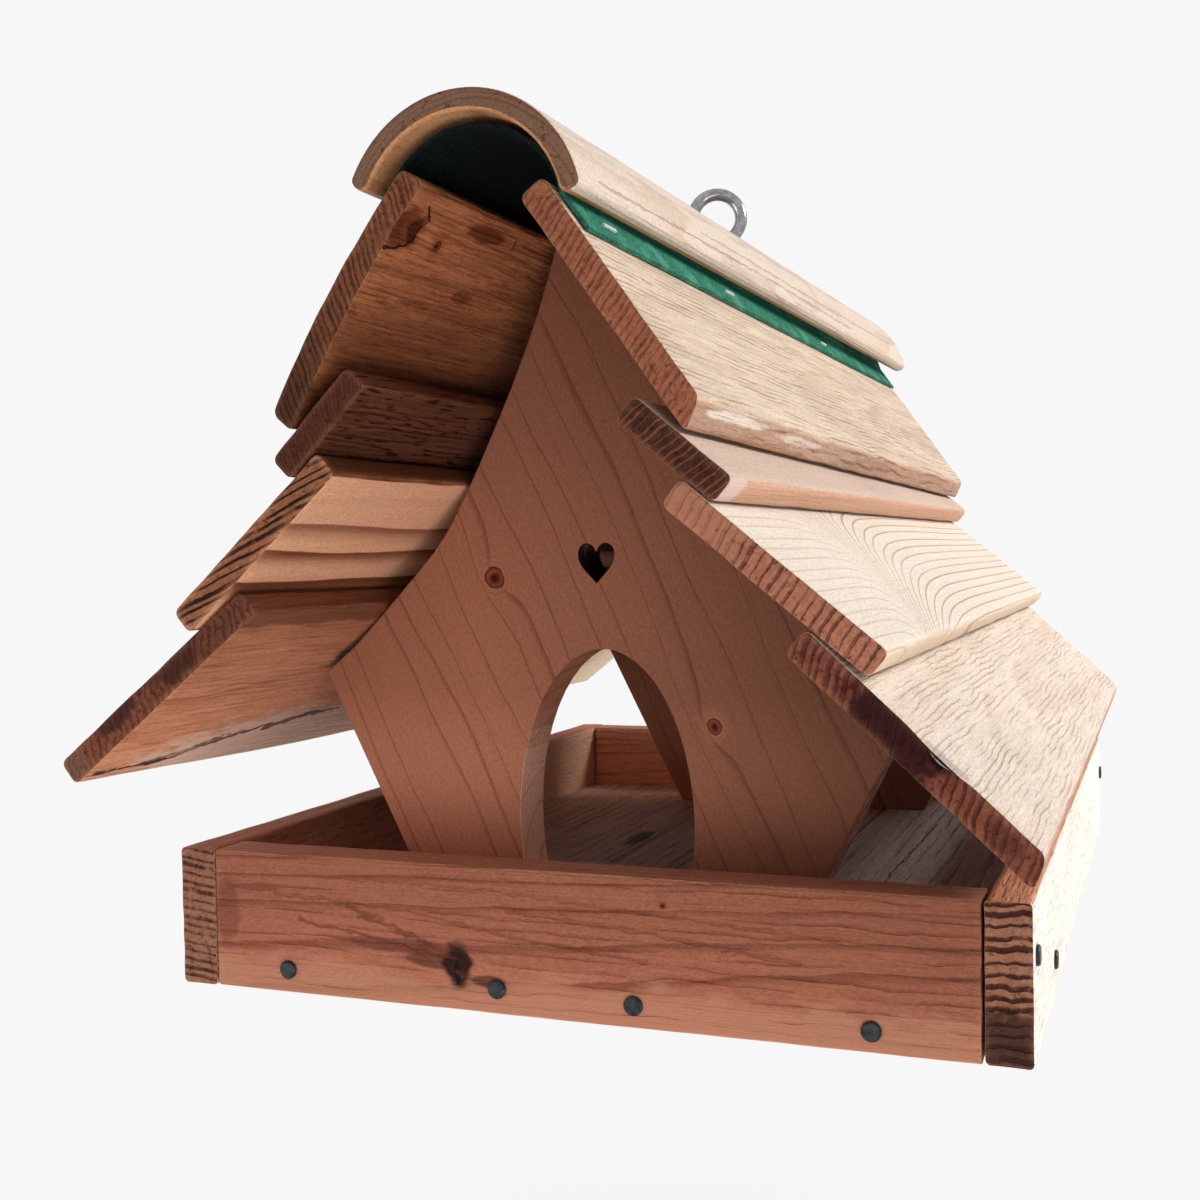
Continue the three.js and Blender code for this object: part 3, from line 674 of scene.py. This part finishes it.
# Roof boards, from the ridge down on each side: slope in degrees, the slope of the row that the
# board rests on where it differs, and the swing about that row's face.
DEEP = (52, 26, 18)
ROOF_BOARDS = {
    "roof_left_1": dict(
        slope=55.5, rests=44.5, swing=-0.8, cup=0.0024, lean=0.001, cell=(0.0016, 0.0015, 0.0024),
        top=((214, 178, 140), (176, 124, 84)), under=((176, 110, 74), (98, 52, 33)),
        side=((150, 100, 70), (96, 58, 40)), ends=((120, 72, 48), (60, 30, 20)),
        ring=0.0042, warp=0.012, fibre=0.42, ticks=0.35, scored=(0.0019, 0.0016, 0.5), tone=0.3, torn=0.5,
        contrast=0.35, ladder=(0.785, 0.61, 0.0021, 0.001, 0.7, 0.45),
        # Painted shade: the fade darkens the underside towards its lower edge, next to the board below.
        fade=[((0, 1, 0), -0.012, 0.043, 1.12, 0.34)],
        spots=[("under", -0.2235, -0.0275, (0.0115, 0.009), (112, 56, 36), 0.9),
               ("under", -0.2165, -0.0285, (0.0035, 0.006), (70, 30, 20), 0.9),
               ("under", -0.18, -0.036, (0.013, 0.004), (100, 46, 28), 0.85),
               ("under", -0.173, -0.013, (0.007, 0.003), (104, 50, 32), 0.6),
               # Painted shade: a dark strip along the underside's lower edge.
               ("under", -0.16, 0.036, (0.09, 0.012), (70, 34, 24), 0.7)],
        knots=[(-0.2034, -0.0265, 0.0019, 0.001)],
        cracks=[("under", 0.0006, 0.95, DEEP,
                 [(-0.2195, -0.037), (-0.2135, -0.033), (-0.2135, -0.0265), (-0.219, -0.0225),
                  (-0.2295, -0.0205)]),
                ("under", 0.0006, 0.9, DEEP, [(-0.161, -0.0375), (-0.1605, -0.034)])],
        dents=[(-0.2215, -0.0285, -1, (0.0062, 0.0052), 0.003),
               (-0.2125, -0.028, -1, (0.0034, 0.0046), 0.0022)]),
    "roof_left_2": dict(
        slope=44.5,
        top=((200, 165, 130), (150, 105, 75)), under=((98, 58, 42), (50, 27, 20)),
        side=((120, 74, 54), (74, 42, 30)), ends=((84, 42, 29), (36, 15, 10)),
        ring=0.003, warp=0.004, fibre=0.4, ticks=1.0, scored=(0.0023, 0.001, 0.9), tone=0.22, torn=0.2,
        contrast=0.3, ladder=(0.9, 0.5, 0.0016, 0.002, 0.25, 0.5)),
    "roof_left_3": dict(
        slope=41.5, trim=0.003,
        top=((206, 170, 138), (160, 112, 80)), under=((228, 172, 138), (124, 66, 40)),
        side=((170, 110, 80), (110, 64, 44)), ends=((150, 94, 66), (34, 14, 10)),
        ring=0.011, warp=0.004, fibre=0.08, late=0.3, contrast=0.1, tone=0.08, relief=0.1,
        # The first band is painted shade along the upper edge under the board above; the others are dark
        # growth bands.
        bands=[(-0.060, 0.0238, 1.0, 0.02), (-0.015, 0.012, 0.8, 0.96), (-0.0027, 0.0125, 0.95, 0.96),
               (0.0118, 0.0185, 1.0, 0.96), (0.0338, 0.03, 0.8, 0.5)],
        ladder=(-0.31, 0.95, 0.0026, 0.0009, 1.2, 0.45), rim=0.5, rim_colour=(206, 146, 108),
        cracks=[("under", 0.0009, 0.9, (60, 26, 18), [(-0.1115, -0.018), (-0.1185, -0.0165)])]),
    "roof_left_4": dict(
        slope=38.5, swing=1.25, wane=0.0045,
        top=((210, 176, 146), (168, 122, 90)), under=((196, 130, 96), (140, 82, 56)),
        side=((150, 96, 72), (96, 56, 42)), ends=((116, 66, 46), (50, 22, 17)),
        ring=0.008, warp=0.016, fibre=0.22, ticks=0.25, scored=(0.003, 0.003, 0.45), tone=0.1, torn=0.4,
        contrast=0.4, ladder=(0.9, 0.4, 0.0028, 0.003, 0.5, 0.4),
        # Painted light: the fade brightens the underside towards its lower edge, as light from below.
        fade=[((0.1, 1, 0), -0.05, 0.02, 0.85, 1.3)],
        spots=[("under", -0.16, -0.044, (0.2, 0.007), (112, 66, 48), 0.85),
               ("under", -0.118, -0.016, (0.03, 0.006), (96, 48, 32), 0.75),
               # Painted light: a pale patch low on the underside's front half.
               ("under", -0.12, 0.038, (0.1, 0.02), (228, 194, 174), 0.8),
               ("under", 0.2, 0.0, (0.07, 0.2), (250, 226, 196), 0.9),
               ("front", -0.012, 0.002, (0.012, 0.006), (62, 28, 24), 0.85),
               ("front", 0.018, 0.003, (0.012, 0.004), (58, 26, 24), 0.85),
               ("front", 0.041, 0.0, (0.006, 0.008), (112, 84, 72), 0.6)],
        cracks=[("under", 0.0019, 0.75, (120, 78, 62), [(-0.205, 0.0405), (-0.1746, 0.0345)]),
                ("under", 0.0036, 0.9, (122, 82, 66), [(-0.178, 0.0345), (-0.156, 0.0295)]),
                ("under", 0.0015, 1.0, (70, 38, 30),
                 [(-0.225, 0.0405), (-0.189, 0.0398), (-0.1746, 0.0356), (-0.158, 0.0315), (-0.139, 0.0275),
                  (-0.141, 0.0305), (-0.1187, 0.0249), (-0.0934, 0.0243)]),
                ("under", 0.0028, 0.85, (120, 82, 68),
                 [(-0.139, 0.0295), (-0.1187, 0.0258), (-0.102, 0.0243)])]),
    "roof_right_1": dict(
        slope=54.5, rests=40, swing=-1.15, lean=0.0056, longer=0.0034,
        top=((206, 186, 166), (170, 134, 106)), under=((160, 104, 74), (104, 62, 44)),
        side=((176, 142, 120), (150, 108, 84)), ends=((156, 94, 68), (84, 44, 32)),
        ring=0.0045, warp=0.008, fibre=0.3, ticks=0.1, scored=(0.0023, 0.0022, 0.7), tone=0.16,
        contrast=0.3, torn=0.25, ladder=(0.95, 0.3, 0.0023, 0.001, 0.55, 0.4),
        spots=[("low", -0.19, 0.002, (0.035, 0.0016), (236, 226, 216), 0.6),
               ("low", -0.12, 0.001, (0.03, 0.0016), (224, 208, 196), 0.6),
               ("low", -0.16, -0.0045, (0.05, 0.0016), (196, 138, 96), 0.7)]),
    "roof_right_2": dict(
        slope=40,
        top=((198, 174, 159), (176, 142, 124)), under=((140, 88, 64), (90, 54, 40)),
        side=((200, 156, 130), (164, 112, 86)), ends=((52, 25, 18), (112, 66, 49)),
        ring=0.007, pith=(0.0, -0.3), warp=0.004, fibre=0.12, tone=0.08, contrast=0.2, relief=0.1,
        torn=0.05, ladder=(0.96, -0.25, 0.0024, 0.001, 0.9, 0.4),
        spots=[("low", -0.222, 0.002, (0.01, 0.01), (206, 190, 184), 0.7)]),
    "roof_right_3": dict(
        slope=39.5,
        top=((220, 208, 194), (166, 128, 98)), under=((160, 104, 78), (110, 66, 48)),
        side=((214, 192, 170), (180, 142, 112)), ends=((172, 112, 87), (88, 46, 36)),
        ring=0.0048, warp=0.003, late=0.2, uneven=0.3, fibre=0.06, tone=0.05, contrast=0.95,
        flame=(-0.1255, -0.28, -21.5, (0.045, 0.03), (0.02, 0.012)),
        ladder=(1.0, 0.12, 0.0031, 0.0009, 0.75, 0.35),
        spots=[("front", -0.034, 0.0, (0.026, 0.05), (170, 112, 88), 0.7)]),
    "roof_right_4": dict(
        slope=43, lean=0.0042, longer=0.0027,
        top=((218, 202, 188), (190, 160, 136)), under=((150, 96, 70), (100, 60, 44)),
        side=((184, 146, 124), (146, 102, 80)), ends=((126, 70, 53), (58, 25, 20)),
        warp=0.012, fibre=0.22, ticks=0.12, scored=(0.0022, 0.0024, 0.5), tone=0.1,
        contrast=0.25, torn=0.2, ladder=(0.9, 0.45, 0.0027, 0.0014, 0.7, 0.5),
        spots=[("front", -0.0085, -0.001, (0.019, 0.04), (50, 16, 19), 1.0),
               ("front", 0.0045, 0.0035, (0.003, 0.0035), (26, 14, 16), 1.0),
               ("front", 0.03, 0.0, (0.008, 0.004), (74, 36, 26), 0.6),
               ("top", -0.2265, 0.006, (0.0035, 0.009), (176, 160, 154), 0.8)],
        dents=[(-0.2285, 0.0045, 1, (0.004, 0.006), 0.0022)]),
}


def roof_boards():
    for number, (node, board) in enumerate(ROOF_BOARDS.items()):
        look = dict(board)
        slope = look.pop("slope")
        side = -1 if "left" in node else 1
        axes = slope_axes(side, slope, look.pop("rests", slope), look.pop("swing", 0.0))
        block(node, axes, "roof_board", number + 1, shift=0.37 * number, **look)


# The pale under colours are painted light on the end rails' inner faces, inside the shaded tray.
RAIL_COLOURS = dict(top=((164, 101, 78), (108, 56, 42)), under=((254, 188, 158), (214, 136, 106)),
                    side=((206, 146, 118), (160, 100, 76)), ends=((150, 100, 80), (84, 48, 38)))
FRONT_MARKS = dict(
    knots=[(0.0355, -0.016, 0.0009, 0.001)],
    # Painted light: a paler strip along the lower part of the front face.
    spots=[("top", 0.0, 0.028, (0.6, 0.019), (186, 132, 106), 0.55),
           ("top", -0.062, 0.004, (0.022, 0.0026), (96, 48, 36), 0.6),
           ("top", -0.047, 0.0085, (0.012, 0.0032), (84, 42, 33), 0.75),
           ("top", -0.038, 0.0095, (0.0062, 0.0088), (46, 24, 20), 1.0),
           ("top", -0.027, 0.0135, (0.008, 0.0026), (84, 42, 32), 0.8),
           ("top", -0.13, -0.004, (0.005, 0.016), (96, 48, 36), 0.45),
           ("top", -0.118, -0.012, (0.012, 0.0016), (96, 48, 36), 0.5)],
    cracks=[("top", 0.0014, 1.0, (24, 14, 14), [(-0.0385, 0.0062), (-0.038, 0.0148)]),
            ("top", 0.0022, 0.6, (92, 46, 35), [(-0.08, -0.0075), (-0.06, -0.001), (-0.042, 0.006)]),
            ("top", 0.0014, 0.5, (92, 46, 35), [(-0.1, -0.002), (-0.072, 0.002), (-0.0385, 0.0072)]),
            ("top", 0.0014, 0.5, (96, 50, 38), [(-0.0385, 0.012), (-0.03, 0.0135), (-0.022, 0.0165)]),
            ("top", 0.0012, 0.35, (100, 50, 38),
             [(-0.11, -0.0105), (-0.06, -0.0085), (-0.02, -0.002), (0.03, 0.0025)]),
            ("top", 0.0012, 0.4, (104, 52, 40), [(-0.02, -0.0105), (0.03, -0.007), (0.08, -0.001)]),
            ("top", 0.0012, 0.3, (104, 52, 40),
             [(-0.08, -0.0185), (-0.02, -0.0165), (0.05, -0.012), (0.1, -0.008)])])
SIDE_COLOURS = dict(under=((194, 140, 114), (148, 92, 70)), side=((206, 140, 108), (160, 98, 72)),
                    ends=((156, 106, 84), (62, 31, 24)))
LEFT_RAIL = dict(
    top=((204, 150, 122), (152, 98, 76)),
    ladder=(1.0, 0.12, 0.0031, 0.0006, 0.8, 0.45),
    # Painted light: a pale patch on the inner face towards the back.
    spots=[("under", 0.12, 0.0, (0.07, 0.3), (232, 184, 154), 0.85)])
RIGHT_RAIL = dict(
    # Painted light: the outer face is painted near white, as lit strongly from the right.
    top=((238, 230, 220), (216, 196, 176)),
    ladder=(1.0, 0.05, 0.0036, 0.0018, 1.1, 0.5),
    spots=[("front", 0.018, 0.0, (0.012, 0.03), (44, 22, 18), 0.85)])
# Painted shade on the left and middle floor boards, and painted light on the right one, where light falls
# into the tray.
SHADED_FLOOR = ((210, 180, 168), (164, 130, 118))
FLOOR_BOARDS = {
    "floor_left": dict(top=SHADED_FLOOR, spots=[("top", 0.022, 0.0387, (0.02, 0.005), (30, 24, 34), 0.85)]),
    "floor_middle": dict(top=SHADED_FLOOR),
    "floor_right": dict(top=((236, 224, 220), (198, 180, 176))),
}
FLOOR_CRACKS = [("top", 0.0008, 0.8, (50, 30, 26), [(-0.12, -0.01), (-0.02, -0.014), (0.09, -0.012)]),
                ("top", 0.0006, 0.7, (50, 30, 26), [(-0.15, 0.024), (-0.05, 0.02)])]


def tray():
    """End rails, side rails and the floor."""
    for node, y_side, marks in (("front_rail", -1, FRONT_MARKS), ("back_rail", 1, {})):
        block(node, (X, -Z, Y * y_side), "stained_wood", 20 + y_side, section=0.0016, end=0.0006,
              cell=(0.003, 0.0025, 0.004), ring=0.0036, pith=(0.03, -0.09), tilt=0.02,
              late=0.26, fibre=0.3, contrast=0.65, tone=0.14, shift=0.6 * y_side, worms=0.25,
              scored=(0.0042, 0.003, 0.5),
              # Painted light and shade: brighter towards the lower edge, as light from below, and darker
              # towards the right end.
              fade=[((0, 1, 0), -0.012, 0.025, 0.9, 1.25), ((1, 0, 0), 0.0, 0.12, 1.0, 0.8)],
              **RAIL_COLOURS, **marks)
    for node, x_side, marks in (("left_rail", -1, LEFT_RAIL), ("right_rail", 1, RIGHT_RAIL)):
        block(node, (Y, -Z, X * x_side), "stained_wood", 24 + x_side, section=0.0018, end=0.0008,
              cell=(0.0035, 0.0022, 0.0022), ring=0.0042, pith=(0.0, -0.16), tilt=0.005, warp=0.004,
              contrast=0.5, shift=1.3 + 0.6 * x_side, worms=0.3, ticks=0.4, torn=0.25,
              **SIDE_COLOURS, **marks)
    for i, (node, marks) in enumerate(FLOOR_BOARDS.items()):
        block(node, (Y, X, Z), "stained_wood", 30 + i, section=0.0012, end=0.0006,
              cell=(0.005, 0.005, 0.004), wear=0.0003, warp=0.01, ticks=0.3, tone=0.15, contrast=0.45,
              shift=2.0 + 0.4 * i, late=0.3, scored=(0.006, 0.003, 0.7), cracks=FLOOR_CRACKS,
              under=((190, 124, 96), (146, 84, 60)), **marks)


def turned(angle):
    """Grain coordinates of a node whose fibres lean from upright, seen from the front."""
    def grain(net):
        mapping = net.make("ShaderNodeMapping", [net.place()], vector_type="TEXTURE")
        mapping.inputs["Rotation"].default_value = (0, math.radians(angle), 0)
        x, y, z = net.split(mapping.outputs[0])
        return z, x, y, None
    return grain


def lengthwise(net):
    """Grain coordinates of a node whose fibres run along Y."""
    x, y, z = net.split(net.place())
    return y, x, z, None


def dress(node, material):
    data = nodes[node].data
    for index in range(len(data.materials)):
        data.materials[index] = material
    for slot in nodes[node].material_slots:
        slot.material = material


GABLE_LEAN = -25
# The pale side colours are painted light on the faces that look sideways, such as the doorway's jambs.
GABLE_COLOURS = dict(top=((154, 99, 76), (110, 62, 45)), side=((216, 172, 150), (172, 124, 100)),
                     ends=((170, 112, 88), (120, 70, 52)))


def gables():
    """Boards with slanting fibres, darker inside the heart, with painted shade darker to the right and
    painted light paler at the bottom and on faces that look right.
    """
    tilt = math.radians(GABLE_LEAN)
    axes = [(math.sin(tilt), 0, math.cos(tilt)), (math.cos(tilt), 0, -math.sin(tilt)), (0, -1, 0)]
    for node, shift in (("gable_front", 0.065), ("gable_back", 0.335)):
        dress(node, wood(
            node + "_wood", turned(GABLE_LEAN), axes, **GABLE_COLOURS, ring=0.0105, pith=(-0.5, 0.02),
            tilt=0.0, warp=0.018, late=0.12, contrast=0.7, fibre=0.14, tone=0.06, relief=0.12, rough=0.6,
            shift=shift, halo_colour=(172, 112, 84),
            knots=[(0.1486, 0.0238, 0.0037, 0.006), (0.0671, 0.0765, 0.0026, 0.005)],
            spots=[("cut", 0.1361, 0.0618, (0.013, 0.013), (34, 16, 12), 1.0),
                   # Painted light on the faces that look right, such as the doorway's left jamb.
                   ("low", -0.012, 0.0, (0.05, 0.2), (250, 240, 234), 0.9)],
            # Painted shade darker towards the right, under the roof, and painted light paler towards the
            # bottom.
            fade=[((-0.4226, 0.9063, 0), -0.05, 0.1, 1.04, 0.36),
                  ((0.9063, 0.4226, 0), 0.045, 0.105, 1.7, 1.0)]))
    dress("ridge_beam", wood("ridge_beam_wood", turned(0), [Z, X, Y], **RAIL_COLOURS))


# Axis of the round cap and of the sheet under it, across and up.
CAP_AXIS = (-0.0046, 0.2493)
CAP_COLOURS = dict(top=((200, 184, 172), (172, 140, 116)), under=((190, 138, 98), (122, 78, 50)),
                   side=((206, 188, 172), (176, 142, 116)), ends=((126, 92, 72), (70, 44, 34)))
SCRATCH = (246, 238, 230)
CAP_GRAIN = (140, 96, 70)


def cap():
    cracks = [("low", 0.0007, 0.4, CAP_GRAIN, [(-0.215, 0.2615), (-0.05, 0.263), (0.1, 0.2625)]),
              ("low", 0.0006, 0.35, CAP_GRAIN, [(-0.12, 0.2665), (0.06, 0.267), (0.2, 0.268)]),
              ("low", 0.0004, 0.8, SCRATCH, [(-0.16, 0.262), (-0.148, 0.272)]),
              ("low", 0.0004, 0.8, SCRATCH, [(-0.02, 0.265), (-0.008, 0.276)]),
              ("low", 0.0004, 0.8, SCRATCH, [(0.07, 0.263), (0.085, 0.275)])]
    dress("ridge_cap", wood("ridge_cap_wood", lengthwise, [Y, X, Z], **CAP_COLOURS, ring=0.0026,
                            pith=CAP_AXIS, tilt=0.01, late=0.4, fibre=0.12, contrast=0.45, tone=0.1,
                            relief=0.05, rough=0.45, scored=(0.009, 0.004, 0.35), hollow=CAP_AXIS,
                            cracks=cracks))


def sheet_material():
    """Fuzzy green outside, and painted shadow, nearly black, on the inner side and on the front rim under
    the cap.
    """
    net = Net("green_sheet", 0.85)
    place = net.place()
    fuzz = net.noise(place, (900, 900, 900), 3, 0.7)
    patch = net.noise(place, (60, 60, 60), 3)
    colour = net.mix(net.step(fuzz, 0.3, 0.7), rgb(15, 76, 60), rgb(54, 130, 105))
    colour = net.mix(net.times(net.step(patch, 0.45, 0.7), 0.5), colour, rgb(92, 162, 138))
    across, _, height = net.split(place)
    to_front = net.times(net.split(net.normal())[1], -1.0)
    # Painted shadow under the cap: the front rim high up and the inner side are painted nearly black.
    rim = net.times(net.step(to_front, 0.3, 0.6), net.step(height, 0.256, 0.262))
    inside = net.larger(hollow(net, across, height, CAP_AXIS), rim)
    painted_shadow = net.mix(net.step(fuzz, 0.35, 0.75), rgb(5, 9, 11), rgb(22, 34, 34))
    net.shader.inputs["Specular IOR Level"].default_value = 0.1
    net.put(net.shader.inputs["Base Color"], net.mix(inside, colour, painted_shadow))
    net.put(net.shader.inputs["Normal"], net.bump(fuzz, 0.0005, 0.8))
    return net.material


def metal(name, base, dark, roughness, metallic):
    """Scratched metal with darker patches."""
    net = Net(name, roughness)
    place = net.place()
    scratch = net.noise(place, (300, 2600, 300), 2)
    patch = net.noise(place, (500, 500, 500), 3)
    net.put(net.shader.inputs["Base Color"], net.mix(net.step(patch, 0.35, 0.7), base, dark))
    net.shader.inputs["Metallic"].default_value = metallic
    uneven = net.times(net.less(scratch, 0.5), 0.3)
    net.put(net.shader.inputs["Roughness"], net.add(roughness, uneven))
    net.put(net.shader.inputs["Normal"], net.bump(scratch, 0.0001, 0.4))
    return net.material


def fasteners():
    black = metal("nail_black", rgb(46, 48, 52), rgb(22, 23, 26), roughness=0.42, metallic=0.6)
    wire = metal("staple_wire", rgb(226, 230, 228), rgb(196, 202, 200), roughness=0.45, metallic=0.2)
    for node in nodes:
        if node.startswith("nail"):
            dress(node, black)
        if node.startswith("staple"):
            dress(node, wire)


# Screw eye: ring and wire radius, how far the ring sits under the plain one, and its turn.
EYE_RING = 0.01075
EYE_WIRE = 0.00275
EYE_SUNK = 0.0022
EYE_TURN = math.radians(18)
RING_STEPS, WIRE_STEPS, SHANK_STEPS = 96, 32, 48
# Radius and height of the collar and the shank, from the foot of the ring down.
SHANK_PROFILE = [(0.0002, 0.0), (0.0026, -0.0005), (0.0034, -0.0022), (0.0034, -0.0036),
                 (0.0024, -0.0045), (0.0024, -0.03), (0.0001, -0.034)]


def circle(steps):
    return np.linspace(0, 2 * math.pi, steps + 1)[:-1]


def eye_ring(middle):
    a, b = np.meshgrid(circle(RING_STEPS), circle(WIRE_STEPS), indexing="ij")
    sine, cosine = math.sin(EYE_TURN), math.cos(EYE_TURN)
    radius = EYE_RING + EYE_WIRE * np.cos(b)
    flat = radius * np.cos(a)
    points = np.stack([flat * cosine, flat * sine, radius * np.sin(a)], -1)
    points += np.stack([-np.sin(b) * EYE_WIRE * sine, np.sin(b) * EYE_WIRE * cosine, np.zeros_like(b)], -1)
    index = np.arange(RING_STEPS * WIRE_STEPS).reshape(RING_STEPS, WIRE_STEPS)
    after = np.roll(index, -1, 0)
    faces = np.stack([index, np.roll(index, -1, 1), np.roll(after, -1, 1), after], -1)
    return points.reshape(-1, 3) + middle, faces.reshape(-1, 4)


def eye_shank(middle):
    turns = circle(SHANK_STEPS)
    points = np.array([[r * math.cos(t), r * math.sin(t), z] for r, z in SHANK_PROFILE for t in turns])
    points += middle + np.array([0, 0, EYE_SUNK - (EYE_WIRE + EYE_RING)])
    index = np.arange(len(points)).reshape(len(SHANK_PROFILE), SHANK_STEPS)
    after = np.roll(index, -1, 1)
    faces = np.stack([index[1:], after[1:], after[:-1], index[:-1]], -1)
    return points, faces.reshape(-1, 4)


def screw_eye():
    """Smooth ring, collar and shank, the ring a little deeper in the cap."""
    steel = metal("bright_steel", rgb(158, 158, 160), rgb(128, 128, 130), roughness=0.16, metallic=1.0)
    low, high = reach_of("screw_eye", (X, Y, Z))
    middle = np.array([(low[0] + high[0]) / 2, (low[1] + high[1]) / 2,
                       high[2] - EYE_RING - EYE_WIRE - EYE_SUNK])
    piece = mesh_piece("screw_eye_ring", *eye_ring(middle), steel, "bright_steel")
    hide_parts("screw_eye")
    mesh_piece("screw_eye_shank", *eye_shank(middle), steel, "bright_steel")


roof_boards()
tray()
gables()
cap()
dress("ridge_sheet", sheet_material())
fasteners()
screw_eye()

# Floor far below the hanging table, and a pale world that the camera and mirrors see.
FLOOR_HEIGHT = -0.42
FLOOR_HALF = 9
FLOOR_COLOUR = 0.87
GLOW_FROM, GLOW_FULL = 0.1, 0.75
PALE = 0.93
AMBIENT = 0.46


def pale_floor():
    """Floor that takes the shadow near the table and glows evenly further out."""
    net = Net("pale_floor", 0.9)
    net.shader.inputs["Base Color"].default_value = (FLOOR_COLOUR, FLOOR_COLOUR, FLOOR_COLOUR, 1)
    net.shader.inputs["Specular IOR Level"].default_value = 0.0
    place = net.split(net.place())
    spread = net.length(place[0], place[1])
    rays = net.make("ShaderNodeLightPath").outputs
    seen = net.larger(rays["Is Camera Ray"], net.larger(rays["Is Glossy Ray"], rays["Is Transmission Ray"]))
    glow = net.make("ShaderNodeEmission", [(PALE, PALE, PALE, 1), 1.0])
    blend = net.make("ShaderNodeMixShader", [net.times(seen, net.step(spread, GLOW_FROM, GLOW_FULL))])
    net.links.new(net.shader.outputs[0], blend.inputs[1])
    net.links.new(glow.outputs[0], blend.inputs[2])
    output = next(n for n in net.nodes if n.type == "OUTPUT_MATERIAL")
    net.links.new(blend.outputs[0], output.inputs["Surface"])
    mesh = bpy.data.meshes.new("floor")
    h = FLOOR_HALF
    corners = [(x, y, FLOOR_HEIGHT) for x, y in ((-h, -h), (h, -h), (h, h), (-h, h))]
    mesh.from_pydata(corners, [], [(0, 1, 2, 3)])
    mesh.materials.append(net.material)
    floor = bpy.data.objects.new("floor", mesh)
    bpy.context.scene.collection.objects.link(floor)


def pale_world():
    """Even light on the object, and a pale background for the camera and mirrors."""
    world = bpy.data.worlds.new("world")
    bpy.context.scene.world = world
    world.use_nodes = True
    tree = world.node_tree
    light = tree.nodes["Background"]
    light.inputs["Color"].default_value = (1, 1, 1, 1)
    light.inputs["Strength"].default_value = AMBIENT
    plain = tree.nodes.new("ShaderNodeBackground")
    plain.inputs["Color"].default_value = (PALE, PALE, PALE, 1)
    path = tree.nodes.new("ShaderNodeLightPath")
    seen = tree.nodes.new("ShaderNodeMath")
    seen.operation = "MAXIMUM"
    choose = tree.nodes.new("ShaderNodeMixShader")
    link = tree.links.new
    link(path.outputs["Is Camera Ray"], seen.inputs[0])
    link(path.outputs["Is Glossy Ray"], seen.inputs[1])
    link(seen.outputs[0], choose.inputs[0])
    link(light.outputs[0], choose.inputs[1])
    link(plain.outputs[0], choose.inputs[2])
    link(choose.outputs[0], tree.nodes["World Output"].inputs["Surface"])


def lamp(name, spot, aim, size, power, colour):
    data = bpy.data.lights.new(name, "AREA")
    data.shape = "DISK"
    data.size = size
    data.energy = power
    data.color = colour
    item = bpy.data.objects.new(name, data)
    item.location = spot
    item.rotation_euler = (Vector(aim) - Vector(spot)).to_track_quat("-Z", "Y").to_euler()
    bpy.context.scene.collection.objects.link(item)


pale_floor()
pale_world()
WARM = (1.0, 0.98, 0.96)
lamp("window", (1.7, 0.75, 1.25), (0, 0, 0.15), size=0.9, power=45, colour=(1.0, 0.985, 0.96))
lamp("fill", (-1.0, -1.1, -0.15), (0, 0, 0.15), size=1.0, power=5, colour=WARM)
lamp("bounce", (0.35, -0.75, -0.38), (-0.1, -0.15, 0.1), size=1.0, power=6, colour=WARM)

view = bpy.context.scene.view_settings
view.view_transform = "Standard"
